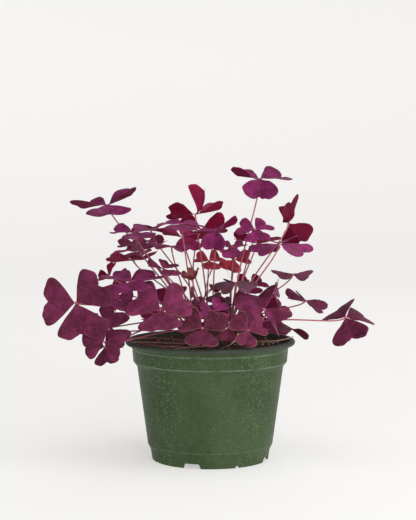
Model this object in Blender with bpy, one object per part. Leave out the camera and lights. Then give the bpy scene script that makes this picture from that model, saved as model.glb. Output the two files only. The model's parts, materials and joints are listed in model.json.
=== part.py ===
import math
import random

import bmesh
import bpy
from mathutils import Matrix, Vector

# The tables below are in millimetres and degrees, and this turns them into metres.
MM = 0.001

# Pot: a thin moulded shell with a rolled lip, a collar, a tapered wall and a notched foot.
LIP_RADIUS = 80.0
POT_HEIGHT = 113.0
LIP_ROUND = 2.2
LIP_INNER_RADIUS = 73.8
LIP_INNER_ROUND = 2.0
COLLAR_FLARE = ((74.4, 107.0), (76.1, 108.6))
COLLAR_TOP = (73.5, 104.5)
COLLAR_FOOT = (72.5, 92.7)
WALL_TOP = (69.0, 88.5)
WALL_FOOT = (59.0, 14.6)
FOOT_TOP = (56.5, 9.8)
FOOT_BOTTOM_RADIUS = 54.9
FOOT_WALL = 2.0
FOOT_DRAFT = 0.6
WALL = 1.3
INSIDE_RISE = 0.4
FLOOR_TOP = 10.0
FLOOR_UNDER = 8.6
POT_SIDES = 32
SHARP_EDGE = 35.0

# Foot notches: width at the floor, width at the top, height, first direction from the front.
LARGE_NOTCH = (20.0, 14.0, 4.5, -18.0)
SMALL_NOTCH = (4.6, 3.8, 2.0, 27.0)
NOTCH_COUNT = 4
NOTCH_LENGTH = 12.0
DRAIN_COUNT = 8
DRAIN_RADIUS = 4.0
DRAIN_CIRCLE = 44.0
DRAIN_SIDES = 10
DRAIN_CUT = 6.0

# Soil: fills the pot to a little under the lip, with an uneven top.
GAP = 0.3
SOIL_LEVEL = 108.4
SOIL_RINGS = (71.6, 60.0, 46.0, 30.0, 12.0)
SOIL_SHOULDER = 2.0
SOIL_DOME = (0.9, 34.0)
SOIL_SWELL = (0.5, 9.0, 8.0)
SOIL_LUMPS = (0.45, 3.7, 5.1, 4.3, 7.7)

# Crown of each clump, standing in its own hole in the soil.
CROWN_RADIUS = 5.2
CROWN_HALF_HEIGHT = 11.0
CROWN_CENTRE_HEIGHT = 101.0
CROWN_SIDES = 8
CROWN_RINGS = 6
HOLE_RADIUS = 5.8
HOLE_SIDES = 12
HOLE_CUT = 40.0
CLUMPS = {
    "clumpLeft": (-15.0, -4.0),
    "clumpFront": (0.0, -14.0),
    "clumpMiddle": (2.0, 4.0),
    "clumpRight": (17.0, -6.0),
    "clumpRightBack": (16.0, 14.0),
    "clumpBack": (-4.0, 21.0),
}

# Leaf stalks, each a tapered tube from its crown to its leaf.
STALK_FOOT_RADIUS = 0.95
STALK_TIP_RADIUS = 0.62
STALK_FOOT_HEIGHT = 106.0
STALK_SPREAD = 2.8
STALK_SIDES = 5
STALK_STEPS = 5
STALK_RISE = 0.42
STALK_APPROACH = 0.2

# One leaflet of unit length: half outline as (along, across), then the notch between its lobes.
LEAFLET_EDGE = ((0.40, 0.46), (0.62, 0.67), (0.80, 0.72), (0.94, 0.60), (1.00, 0.38), (0.95, 0.16))
LEAFLET_NOTCH = 0.85
LEAFLET_RIB = 0.45
BLADE = 0.8
HUB_RADIUS = 1.5
HUB_HALF_WIDTH = 0.9
DROOP_AT_BASE = 0.55
FOLD_START = 0.3

# How much the leaflets of one leaf differ: their size, then their turn and tilt in degrees.
LEAFLET_SCALE = (0.94, 1.05)
LEAFLET_SPIN = 4.0
LEAFLET_TILT = 5.0

# Leaves: place of the hub, how far and toward where the leaf leans, leaflet length, then for
# each of its three leaflets the heading, droop, fold along the rib and roll about the rib,
# and last its clump and the sideways bend of its stalk.
# Directions turn from +X (0) toward +Y (90), so -90 is the front.
LEAVES = {
    "rightTop": ((47, 10, 264), (6, -90), 27,
                 ((-98, 56, 32, 0), (30, 3, 19, 13), (150, -6, 32, 12)), "clumpRight", (0, 0, 0)),
    "rightFar": ((75, 30, 221), (62, 100), 27,
                 ((-78, 0, 2, 54), (68, 8, 38, -6), (-128, -72, 70, 0)), "clumpRightBack", (0, 0, 0)),
    "rightHigh": ((42, -8, 217), (34, -90), 17,
                  ((-80, 10, 10, 0), (40, 4, 12, 0), (160, 4, 12, 0)), "clumpRight", (0, 0, 0)),
    "rightWing": ((64, -26, 205), (10, -90), 29,
                  ((90, 14, 24, 0), (210, 12, 8, 0), (-30, 12, 8, 0)), "clumpRight", (0, 0, 0)),
    "midHigh": ((5, -22, 217), (14, -90), 21,
                ((-97, 55, 42, 0), (22, -14, 30, -35), (178, 18, 16, 10)), "clumpFront", (0, 0, 0)),
    "midRight": ((21, -2, 200), (14, -90), 13,
                 ((-90, 34, 8, 0), (30, 0, 22, 0), (150, 0, 22, 0)), "clumpRight", (0, 0, 0)),
    "crown": ((-14, 4, 231), (12, 100), 27,
              ((186, -2, 16, 22), (-10, -70, 72, 0), (20, -12, 34, 6)), "clumpMiddle", (0, 0, 0)),
    "crownLeft": ((-26, -36, 224), (12, -90), 20,
                  ((-90, 6, 8, 0), (28, 6, 7, 0), (152, 8, 7, 0)), "clumpLeft", (0, 0, 0)),
    "crownLow": ((-26, 14, 209), (10, -80), 19,
                 ((178, 0, 34, 0), (-60, 40, 12, 0), (58, 0, 20, 0)), "clumpMiddle", (0, 0, 0)),
    "leftTop": ((-98, 20, 239), (9, -125), 31,
                ((-88, 14, 10, 0), (28, -8, 30, -8), (154, 8, 30, 4)), "clumpLeft", (0, 0, 0)),
    "leftHigh": ((-70, -30, 216), (12, -90), 22,
                 ((-75, 6, 12, 0), (45, 2, 14, 0), (165, 2, 20, 0)), "clumpLeft", (0, 0, 0)),
    "leftHighBack": ((-57, 34, 214), (14, 90), 17,
                     ((40, 0, 20, 0), (160, 0, 18, 0), (-80, 0, 18, 0)), "clumpMiddle", (0, 0, 0)),
    "leftHighLow": ((-69, -2, 203), (14, -100), 18,
                    ((-60, 6, 16, 0), (52, 4, 16, 0), (180, 6, 16, 0)), "clumpLeft", (0, 0, 0)),
    "leftWing": ((-36, -20, 202), (8, -90), 16,
                 ((90, 14, 12, 0), (200, 12, 20, 0), (-28, 14, 20, 0)), "clumpLeft", (0, 0, 0)),
    "leftHook": ((-74, 34, 185), (8, 180), 24,
                 ((178, 0, 32, 0), (-62, 0, 20, 0), (58, 0, 20, 0)), "clumpBack", (0, 0, 0)),
    "leftMid": ((-70, -64, 174), (11, -100), 27,
                ((-90, 4, 8, 0), (30, -4, 12, 0), (150, -2, 12, 0)), "clumpLeft", (-8, 28, 0)),
    "leftSmall": ((-97, 4, 174), (46, 160), 14,
                  ((100, 0, 30, 0), (220, 0, 30, 0), (-20, 0, 30, 0)), "clumpLeft", (0, 0, 0)),
    "leftInner": ((-84, -20, 152), (40, -60), 16,
                  ((30, 0, 30, 0), (150, 0, 26, 0), (-90, 0, 26, 0)), "clumpLeft", (0, 0, 0)),
    "outerLeft": ((-123, -45, 152), (76, -95), 32,
                  ((172, 2, 6, 0), (-78, 4, 8, 0), (36, 4, 8, 0)), "clumpLeft", (0, 0, 0)),
    "leftRound": ((-93, -40, 127), (66, -80), 20,
                  ((78, 0, 10, 0), (200, 8, 18, 0), (-42, 8, 18, 0)), "clumpLeft", (0, 0, -6)),
    "leftDroop": ((-96, -66, 119), (62, -90), 19,
                  ((-25, 0, 10, 16), (122, -20, 26, 0), (-160, 8, 12, 0)), "clumpFront", (0, 0, -6)),
    "leftLow": ((-99, -12, 107), (74, -100), 17,
                ((-88, 0, 8, 0), (30, 10, 22, 0), (155, 10, 22, 0)), "clumpLeft", (0, 0, 12)),
    "leftTuck": ((-112, 8, 124), (48, -110), 14,
                 ((215, 0, 22, 0), (-25, 0, 22, 0), (95, 0, 22, 0)), "clumpBack", (0, 0, 0)),
    "frontLeft": ((-45, -64, 148), (62, -90), 28,
                  ((-90, -18, 10, 0), (30, 4, 12, 0), (150, 4, 12, 0)), "clumpFront", (0, 0, 0)),
    "frontLeftHigh": ((-43, -38, 183), (20, -60), 16,
                      ((185, 0, 24, 0), (-55, 0, 14, 0), (65, 0, 18, 0)), "clumpLeft", (0, 0, 0)),
    "young": ((-17, -34, 173), (20, -120), 11,
              ((-60, -30, 44, 0), (60, -34, 44, 0), (180, -34, 44, 0)), "clumpFront", (0, 0, 0)),
    "sprout": ((5, -2, 158), (10, 30), 9,
               ((20, -34, 44, 0), (140, -38, 44, 0), (260, -34, 44, 0)), "clumpMiddle", (0, 0, 0)),
    "redBackLeft": ((-1, 43, 184), (34, -80), 15,
                    ((-80, 0, 18, 0), (40, 4, 20, 0), (160, 4, 20, 0)), "clumpBack", (0, 0, 0)),
    "redBackRight": ((24, 55, 184), (44, -80), 16,
                     ((-110, 0, 20, 0), (10, 0, 24, 0), (130, 0, 24, 0)), "clumpRightBack", (0, 0, 0)),
    "frontHang": ((-7, -70, 132), (46, -90), 20,
                  ((-90, 4, 10, 0), (30, 0, 14, 0), (150, 0, 14, 0)), "clumpFront", (0, 0, 0)),
    "frontMid": ((3, -44, 144), (52, -95), 14,
                 ((-70, 0, 14, 0), (50, 0, 16, 0), (170, 0, 16, 0)), "clumpFront", (0, 0, 0)),
    "frontRim": ((16, -60, 131), (56, -85), 14,
                 ((-95, 4, 16, 0), (25, 0, 16, 0), (145, 0, 16, 0)), "clumpFront", (0, 0, 0)),
    "frontRimRight": ((34, -71, 130), (58, -80), 16,
                      ((-95, 4, 32, 0), (25, 0, 28, 0), (145, 0, 28, 0)), "clumpRight", (4, -4, 0)),
    "frontHigh": ((7, -29, 149), (50, -90), 12,
                  ((120, 0, 6, 0), (240, 0, 8, 0), (0, 0, 8, 0)), "clumpFront", (0, 0, 0)),
    "rightGrey": ((23, -40, 170), (14, -90), 19,
                  ((90, 22, 20, 0), (210, 14, 8, 0), (-30, 14, 8, 0)), "clumpRight", (0, 0, 0)),
    "rightBig": ((50, -35, 145), (66, -88), 27,
                 ((190, -6, 6, 0), (-32, 64, 50, 0), (110, 40, 30, 0)), "clumpRight", (-4, 0, 6)),
    "rightEdge": ((62, 1, 154), (84, -6), 15,
                  ((0, 0, 18, 0), (120, 0, 18, 0), (240, 0, 18, 0)), "clumpRight", (0, 0, 0)),
    "bow": ((79, 22, 172), (20, -90), 18,
            ((90, 26, 8, 0), (205, -6, 6, 0), (-25, -6, 6, 0)), "clumpRightBack", (0, 0, 0)),
    "rightSmall": ((90, 2, 149), (24, -50), 20,
                   ((-20, 10, 14, 0), (80, 30, 30, 0), (190, 0, 20, 0)), "clumpRight", (0, 0, 4)),
    "outerRight": ((126, -20, 136), (62, -118), 26,
                   ((5, 60, 4, -26), (-89, 0, 8, 0), (116, 34, 6, 12)), "clumpRight", (0, -6, -2)),
    "rimRight": ((74, 6, 124), (36, 0), 22,
                 ((-8, 4, 30, 0), (112, 34, 24, 0), (232, 34, 24, 0)), "clumpRight", (0, 0, 0)),
    "backHigh": ((-9, 54, 214), (26, 90), 25,
                 ((90, 6, 16, 0), (210, 0, 20, 0), (-8, -4, 30, -20)), "clumpBack", (-18, 14, 0)),
    "backLeftHigh": ((-66, 64, 193), (24, 130), 26,
                     ((110, 4, 16, 0), (230, 0, 20, 0), (-10, 0, 20, 0)), "clumpBack", (0, 0, 0)),
    "backLeft": ((-84, 62, 152), (48, 130), 27,
                 ((130, 4, 12, 0), (250, 0, 20, 0), (10, 0, 20, 0)), "clumpBack", (0, 0, 0)),
    "backLeftLow": ((-44, 71, 134), (58, 115), 26,
                    ((-60, 4, 12, 0), (60, 0, 16, 0), (180, 0, 16, 0)), "clumpBack", (0, 0, 0)),
    "backLow": ((-2, 75, 124), (60, 90), 24,
                ((95, 4, 12, 0), (215, 0, 16, 0), (-25, 0, 16, 0)), "clumpBack", (0, 0, 0)),
    "backRightLow": ((54, 71, 126), (60, 70), 25,
                     ((60, 4, 12, 0), (180, 0, 16, 0), (300, 0, 16, 0)), "clumpRightBack", (0, 0, 0)),
    "backRight": ((39, 56, 159), (44, 80), 16,
                  ((-40, 4, 14, 0), (80, 0, 20, 0), (200, 0, 20, 0)), "clumpRightBack", (0, 0, 0)),
    "backRightHigh": ((46, 58, 200), (26, 60), 24,
                      ((60, 4, 16, 0), (180, 0, 20, 0), (300, 0, 20, 0)), "clumpRightBack", (0, 0, 0)),
}

COLOURS = {
    "potPlastic": (0.065, 0.115, 0.050, 0.55),
    "soilPeat": (0.030, 0.020, 0.014, 0.95),
    "stalkPink": (0.420, 0.130, 0.150, 0.55),
    "leafPurple": (0.130, 0.018, 0.062, 0.60),
}


def clear_scene():
    for item in list(bpy.data.objects):
        bpy.data.objects.remove(item, do_unlink=True)


def material(name):
    if name in bpy.data.materials:
        return bpy.data.materials[name]
    made = bpy.data.materials.new(name)
    made.use_nodes = True
    shader = made.node_tree.nodes["Principled BSDF"]
    red, green, blue, rough = COLOURS[name]
    shader.inputs["Base Color"].default_value = (red, green, blue, 1.0)
    shader.inputs["Roughness"].default_value = rough
    shader.inputs["Metallic"].default_value = 0.0
    return made


def add_object(name, bm, colour):
    bmesh.ops.recalc_face_normals(bm, faces=bm.faces[:])
    mesh = bpy.data.meshes.new(name)
    bm.to_mesh(mesh)
    bm.free()
    made = bpy.data.objects.new(name, mesh)
    made.data.materials.append(material(colour))
    bpy.context.scene.collection.objects.link(made)
    return made


def apply_boolean(target, operation, tools):
    group = bpy.data.collections.new(target.name + "Tools")
    for tool in tools:
        group.objects.link(tool)
    cut = target.modifiers.new(operation.title(), "BOOLEAN")
    cut.operation = operation
    cut.operand_type = "COLLECTION"
    cut.collection = group
    cut.solver = "EXACT"
    with bpy.context.temp_override(object=target, active_object=target, selected_objects=[target]):
        bpy.ops.object.modifier_apply(modifier=cut.name)
    for tool in tools:
        bpy.data.objects.remove(tool, do_unlink=True)
    bpy.data.collections.remove(group)


def arc(centre, radius, start, end, steps):
    points = []
    for step in range(steps + 1):
        angle = math.radians(start + (end - start) * step / steps)
        points.append((centre[0] + radius * math.cos(angle), centre[1] + radius * math.sin(angle)))
    return points


# Turns a profile of (radius, height) about the pot's axis.
def lathe(profile, sides):
    bm = bmesh.new()
    points = [bm.verts.new((radius * MM, 0.0, height * MM)) for radius, height in profile]
    lines = [bm.edges.new(pair) for pair in zip(points, points[1:])]
    bmesh.ops.spin(bm, geom=points + lines, axis=(0, 0, 1), angle=math.tau, steps=sides)
    bmesh.ops.remove_doubles(bm, verts=bm.verts[:], dist=0.01 * MM)
    return bm


# The inside of the wall, from the floor's edge up to the lip, set in by the given distance.
def wall_inside(inset):
    points = [(FOOT_TOP[0] - inset, FLOOR_TOP + inset - WALL)]
    for radius, height in (WALL_FOOT, WALL_TOP, COLLAR_FOOT, COLLAR_TOP):
        points.append((radius - inset, height + INSIDE_RISE))
    return points


def pot_profile():
    lip = arc((LIP_RADIUS - LIP_ROUND, POT_HEIGHT - LIP_ROUND), LIP_ROUND, -90, 90, 4)
    lip_inside = arc((LIP_INNER_RADIUS + LIP_INNER_ROUND, POT_HEIGHT - LIP_INNER_ROUND),
                     LIP_INNER_ROUND, 90, 180, 2)
    outside = [(FOOT_BOTTOM_RADIUS, 0.0), FOOT_TOP, WALL_FOOT, WALL_TOP, COLLAR_FOOT, COLLAR_TOP]
    outside += COLLAR_FLARE
    inside = list(reversed(wall_inside(WALL)))
    foot_inside = FOOT_BOTTOM_RADIUS - FOOT_WALL
    under = [(0.0, FLOOR_TOP), (0.0, FLOOR_UNDER), (foot_inside + FOOT_DRAFT, FLOOR_UNDER),
             (foot_inside, 0.0)]
    return outside + lip + lip_inside + inside + under + outside[:1]


def notch_cutter(name, size, turn):
    floor_width, top_width, height = size
    bm = bmesh.new()
    bmesh.ops.create_cube(bm, size=2.0)
    for vert in bm.verts:
        wide = top_width if vert.co.z > 0 else floor_width
        rise = height if vert.co.z > 0 else -height
        vert.co = Vector((vert.co.x * wide / 2, vert.co.y * NOTCH_LENGTH / 2, rise)) * MM
    cutter = add_object(name, bm, "potPlastic")
    cutter.matrix_world = (Matrix.Rotation(math.radians(turn), 4, "Z")
                           @ Matrix.Translation((0.0, -FOOT_BOTTOM_RADIUS * MM, 0.0)))
    return cutter


def drain_cutter(turn):
    bm = bmesh.new()
    bmesh.ops.create_cone(bm, cap_ends=True, segments=DRAIN_SIDES, radius1=DRAIN_RADIUS * MM,
                          radius2=DRAIN_RADIUS * MM, depth=DRAIN_CUT * MM)
    cutter = add_object("drainCutter", bm, "potPlastic")
    middle = (FLOOR_TOP + FLOOR_UNDER) / 2
    cutter.matrix_world = (Matrix.Rotation(math.radians(turn), 4, "Z")
                           @ Matrix.Translation((DRAIN_CIRCLE * MM, 0.0, middle * MM)))
    return cutter


def build_pot():
    pot = add_object("pot", lathe(pot_profile(), POT_SIDES), "potPlastic")
    cutters = []
    for floor_width, top_width, height, first in (LARGE_NOTCH, SMALL_NOTCH):
        for index in range(NOTCH_COUNT):
            turn = first + index * 360 / NOTCH_COUNT
            cutters.append(notch_cutter("notchCutter", (floor_width, top_width, height), turn))
    for index in range(DRAIN_COUNT):
        cutters.append(drain_cutter((index + 0.5) * 360 / DRAIN_COUNT))
    apply_boolean(pot, "DIFFERENCE", cutters)
    pot.data.shade_smooth()
    pot.data.set_sharp_from_angle(angle=math.radians(SHARP_EDGE))


# Height of the soil's top over its mean level: low swells with smaller lumps on them.
def soil_bump(x, y):
    dome = SOIL_DOME[0] * math.cos(math.hypot(x, y) / SOIL_DOME[1])
    height, along_x, along_y = SOIL_SWELL
    swell = height * math.sin(x / along_x + 1.0) * math.cos(y / along_y)
    height, first_x, first_y, second_y, second_x = SOIL_LUMPS
    lumps = height * math.sin(x / first_x + y / first_y) * math.cos(y / second_y - x / second_x)
    return dome + swell + lumps


def build_soil():
    side = [(radius - GAP, height) for radius, height in wall_inside(WALL)]
    side[0] = (side[0][0] - SOIL_SHOULDER, FLOOR_TOP + GAP)
    top_edge = (COLLAR_TOP[0] - WALL - GAP, SOIL_LEVEL - SOIL_SHOULDER)
    rings = [(radius, SOIL_LEVEL) for radius in SOIL_RINGS]
    profile = [(0.0, FLOOR_TOP + GAP)] + side[:4] + [top_edge] + rings + [(0.0, SOIL_LEVEL)]
    bm = lathe(profile, POT_SIDES)
    for vert in bm.verts:
        if vert.co.z > (SOIL_LEVEL - GAP) * MM:
            vert.co.z += soil_bump(vert.co.x / MM, vert.co.y / MM) * MM
    soil = add_object("soil", bm, "soilPeat")
    floor = CROWN_CENTRE_HEIGHT - CROWN_HALF_HEIGHT - GAP
    cutters = []
    for x, y in CLUMPS.values():
        bm = bmesh.new()
        bmesh.ops.create_cone(bm, cap_ends=True, segments=HOLE_SIDES, radius1=HOLE_RADIUS * MM,
                              radius2=HOLE_RADIUS * MM, depth=HOLE_CUT * MM)
        bmesh.ops.translate(bm, verts=bm.verts[:], vec=Vector((x, y, floor + HOLE_CUT / 2)) * MM)
        cutters.append(add_object("holeCutter", bm, "soilPeat"))
    apply_boolean(soil, "DIFFERENCE", cutters)


# The turn that leans a level leaf toward a compass direction.
def leaf_turn(lean, toward):
    swing = Matrix.Rotation(math.radians(toward), 3, "Z")
    tilt = Matrix.Rotation(math.radians(lean), 3, "Y")
    return swing @ tilt @ swing.inverted()


# Small differences between the three leaflets of a leaf, the same on every run.
def leaflet_variation(name):
    draw = random.Random(name)
    return [(draw.uniform(*LEAFLET_SCALE), draw.uniform(-LEAFLET_SPIN, LEAFLET_SPIN),
             draw.uniform(-LEAFLET_TILT, LEAFLET_TILT), draw.uniform(-LEAFLET_TILT, LEAFLET_TILT))
            for _ in range(3)]


# A point of a leaflet, given along and across its unit outline, in the leaf's level frame.
# The leaflet turns down from the edge of the level hub, and its halves rise from the rib.
def blade_point(length, droop, fold, roll, along, across):
    reach = along * length - HUB_RADIUS
    bend = math.radians(droop) * (DROOP_AT_BASE + (1 - DROOP_AT_BASE) * along)
    opened = min(1.0, reach / (FOLD_START * length))
    wing = math.radians(fold + roll * math.copysign(1.0, across)) * opened
    lift = abs(across) * length * math.sin(wing)
    forward = HUB_RADIUS + reach * math.cos(bend) + lift * math.sin(bend)
    height = lift * math.cos(bend) - reach * math.sin(bend)
    return Vector((forward, across * length * math.cos(wing), height))


def add_leaflet(bm, place, length):
    base = HUB_RADIUS / length
    base_half = HUB_HALF_WIDTH / length
    edge = ((base, base_half),) + LEAFLET_EDGE
    rib = [(base, 0.0), (LEAFLET_RIB, 0.0), (LEAFLET_NOTCH, 0.0)]
    left = [place(along, across) for along, across in edge]
    right = [place(along, -across) for along, across in edge]
    middle = [place(along, across) for along, across in rib]
    bm.faces.new(middle + list(reversed(left)))
    bm.faces.new(right + list(reversed(middle)))
    return [right[0], middle[0], left[0]]


def build_leaf(name):
    hub, (lean, toward), size, leaflets, _clump, _sway = LEAVES[name]
    turn = leaf_turn(lean, toward)
    bm = bmesh.new()
    shaped = []
    centre = []
    for index, (scale, spin, more_droop, more_roll) in enumerate(leaflet_variation(name)):
        heading, droop, fold, roll = leaflets[index]
        length = size * scale
        level = Matrix.Rotation(math.radians(120 * index), 3, "Z")
        real = turn @ Matrix.Rotation(math.radians(heading + spin), 3, "Z")

        def place(along, across):
            vert = bm.verts.new(level @ Vector((along * length, across * length, 0.0)))
            point = blade_point(length, droop + more_droop, fold, roll + more_roll, along, across)
            shaped.append((vert, (real @ point + Vector(hub)) * MM))
            return vert

        centre += add_leaflet(bm, place, length)
    bm.faces.new(centre)
    bmesh.ops.triangulate(bm, faces=bm.faces[:])
    for vert, point in shaped:
        vert.co = point
    leaf = add_object(name, bm, "leafPurple")
    if leaf.data.polygons[-1].normal.dot(turn @ Vector((0, 0, 1))) < 0:
        leaf.data.flip_normals()
    shell = leaf.modifiers.new("Blade", "SOLIDIFY")
    shell.thickness = BLADE * MM
    shell.offset = -1.0
    shell.use_even_offset = True
    return leaf


# The stalk's middle line: up from its crown, then over to meet the leaf's hub squarely.
def stalk_line(name):
    hub, (lean, toward), _size, _leaflets, clump, sway = LEAVES[name]
    axis = leaf_turn(lean, toward) @ Vector((0, 0, 1))
    tip = Vector(hub) - axis * (BLADE + GAP)
    centre = Vector((*CLUMPS[clump], STALK_FOOT_HEIGHT))
    outward = Vector((tip.x - centre.x, tip.y - centre.y, 0.0)).normalized()
    foot = centre + outward * STALK_SPREAD
    span = (tip - foot).length
    bend = Vector(sway)
    rise = foot + Vector((0, 0, STALK_RISE * span)) + bend
    arrival = (axis + (tip - foot).normalized()).normalized()
    approach = tip - arrival * STALK_APPROACH * span + bend / 2
    points = []
    for step in range(STALK_STEPS + 1):
        t = step / STALK_STEPS
        points.append(foot * (1 - t) ** 3 + rise * 3 * t * (1 - t) ** 2
                      + approach * 3 * t ** 2 * (1 - t) + tip * t ** 3)
    return points, axis


def build_stalk(name):
    points, axis = stalk_line(name)
    bm = bmesh.new()
    rings = []
    for index, point in enumerate(points):
        ahead = points[min(index + 1, STALK_STEPS)]
        behind = points[max(index - 1, 0)]
        tangent = axis if index == STALK_STEPS else (ahead - behind).normalized()
        radius = STALK_FOOT_RADIUS + (STALK_TIP_RADIUS - STALK_FOOT_RADIUS) * index / STALK_STEPS
        place = Matrix.Translation(point * MM) @ tangent.to_track_quat("Z", "Y").to_matrix().to_4x4()
        ring = bmesh.ops.create_circle(bm, segments=STALK_SIDES, radius=radius * MM, matrix=place)
        rings.append(list({edge for vert in ring["verts"] for edge in vert.link_edges}))
    for first, second in zip(rings, rings[1:]):
        bmesh.ops.bridge_loops(bm, edges=first + second)
    bmesh.ops.holes_fill(bm, edges=bm.edges[:], sides=STALK_SIDES)
    return add_object(name + "Stalk", bm, "stalkPink")


def build_clump(name):
    x, y = CLUMPS[name]
    bm = bmesh.new()
    bmesh.ops.create_uvsphere(bm, u_segments=CROWN_SIDES, v_segments=CROWN_RINGS, radius=1.0)
    size = Matrix.Diagonal((CROWN_RADIUS * MM, CROWN_RADIUS * MM, CROWN_HALF_HEIGHT * MM, 1.0))
    place = Matrix.Translation(Vector((x, y, CROWN_CENTRE_HEIGHT)) * MM)
    bmesh.ops.transform(bm, matrix=place @ size, verts=bm.verts[:])
    crown = add_object(name, bm, "stalkPink")
    stalks = [build_stalk(leaf) for leaf, values in LEAVES.items() if values[4] == name]
    apply_boolean(crown, "UNION", stalks)


clear_scene()
build_pot()
build_soil()
for clump_name in CLUMPS:
    build_clump(clump_name)
for leaf_name in LEAVES:
    build_leaf(leaf_name)
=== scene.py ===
import json
import math
import random

import bmesh
import bpy
from mathutils import Matrix, Vector, noise
from mathutils.geometry import interpolate_bezier

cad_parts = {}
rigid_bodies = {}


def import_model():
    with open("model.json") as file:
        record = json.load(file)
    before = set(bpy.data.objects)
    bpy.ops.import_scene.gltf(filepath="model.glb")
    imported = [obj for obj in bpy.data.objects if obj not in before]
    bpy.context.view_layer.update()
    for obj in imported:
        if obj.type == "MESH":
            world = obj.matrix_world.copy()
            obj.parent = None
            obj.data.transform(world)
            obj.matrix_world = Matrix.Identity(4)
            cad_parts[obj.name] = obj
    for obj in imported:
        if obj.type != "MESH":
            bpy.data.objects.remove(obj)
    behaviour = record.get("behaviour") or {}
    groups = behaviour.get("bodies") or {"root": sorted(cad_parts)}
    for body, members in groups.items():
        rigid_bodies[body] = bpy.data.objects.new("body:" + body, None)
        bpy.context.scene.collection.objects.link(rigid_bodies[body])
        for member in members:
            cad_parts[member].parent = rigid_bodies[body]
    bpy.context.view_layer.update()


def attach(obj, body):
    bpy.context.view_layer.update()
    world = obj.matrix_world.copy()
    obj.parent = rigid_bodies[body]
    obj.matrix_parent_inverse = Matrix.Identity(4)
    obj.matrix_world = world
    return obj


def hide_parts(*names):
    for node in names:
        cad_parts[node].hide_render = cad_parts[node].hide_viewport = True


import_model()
mm = 0.001  # tables are in millimetres and degrees, sizes in the materials in metres
noise.seed_set(7)  # the sideways bend of the stalks is drawn from this

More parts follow.
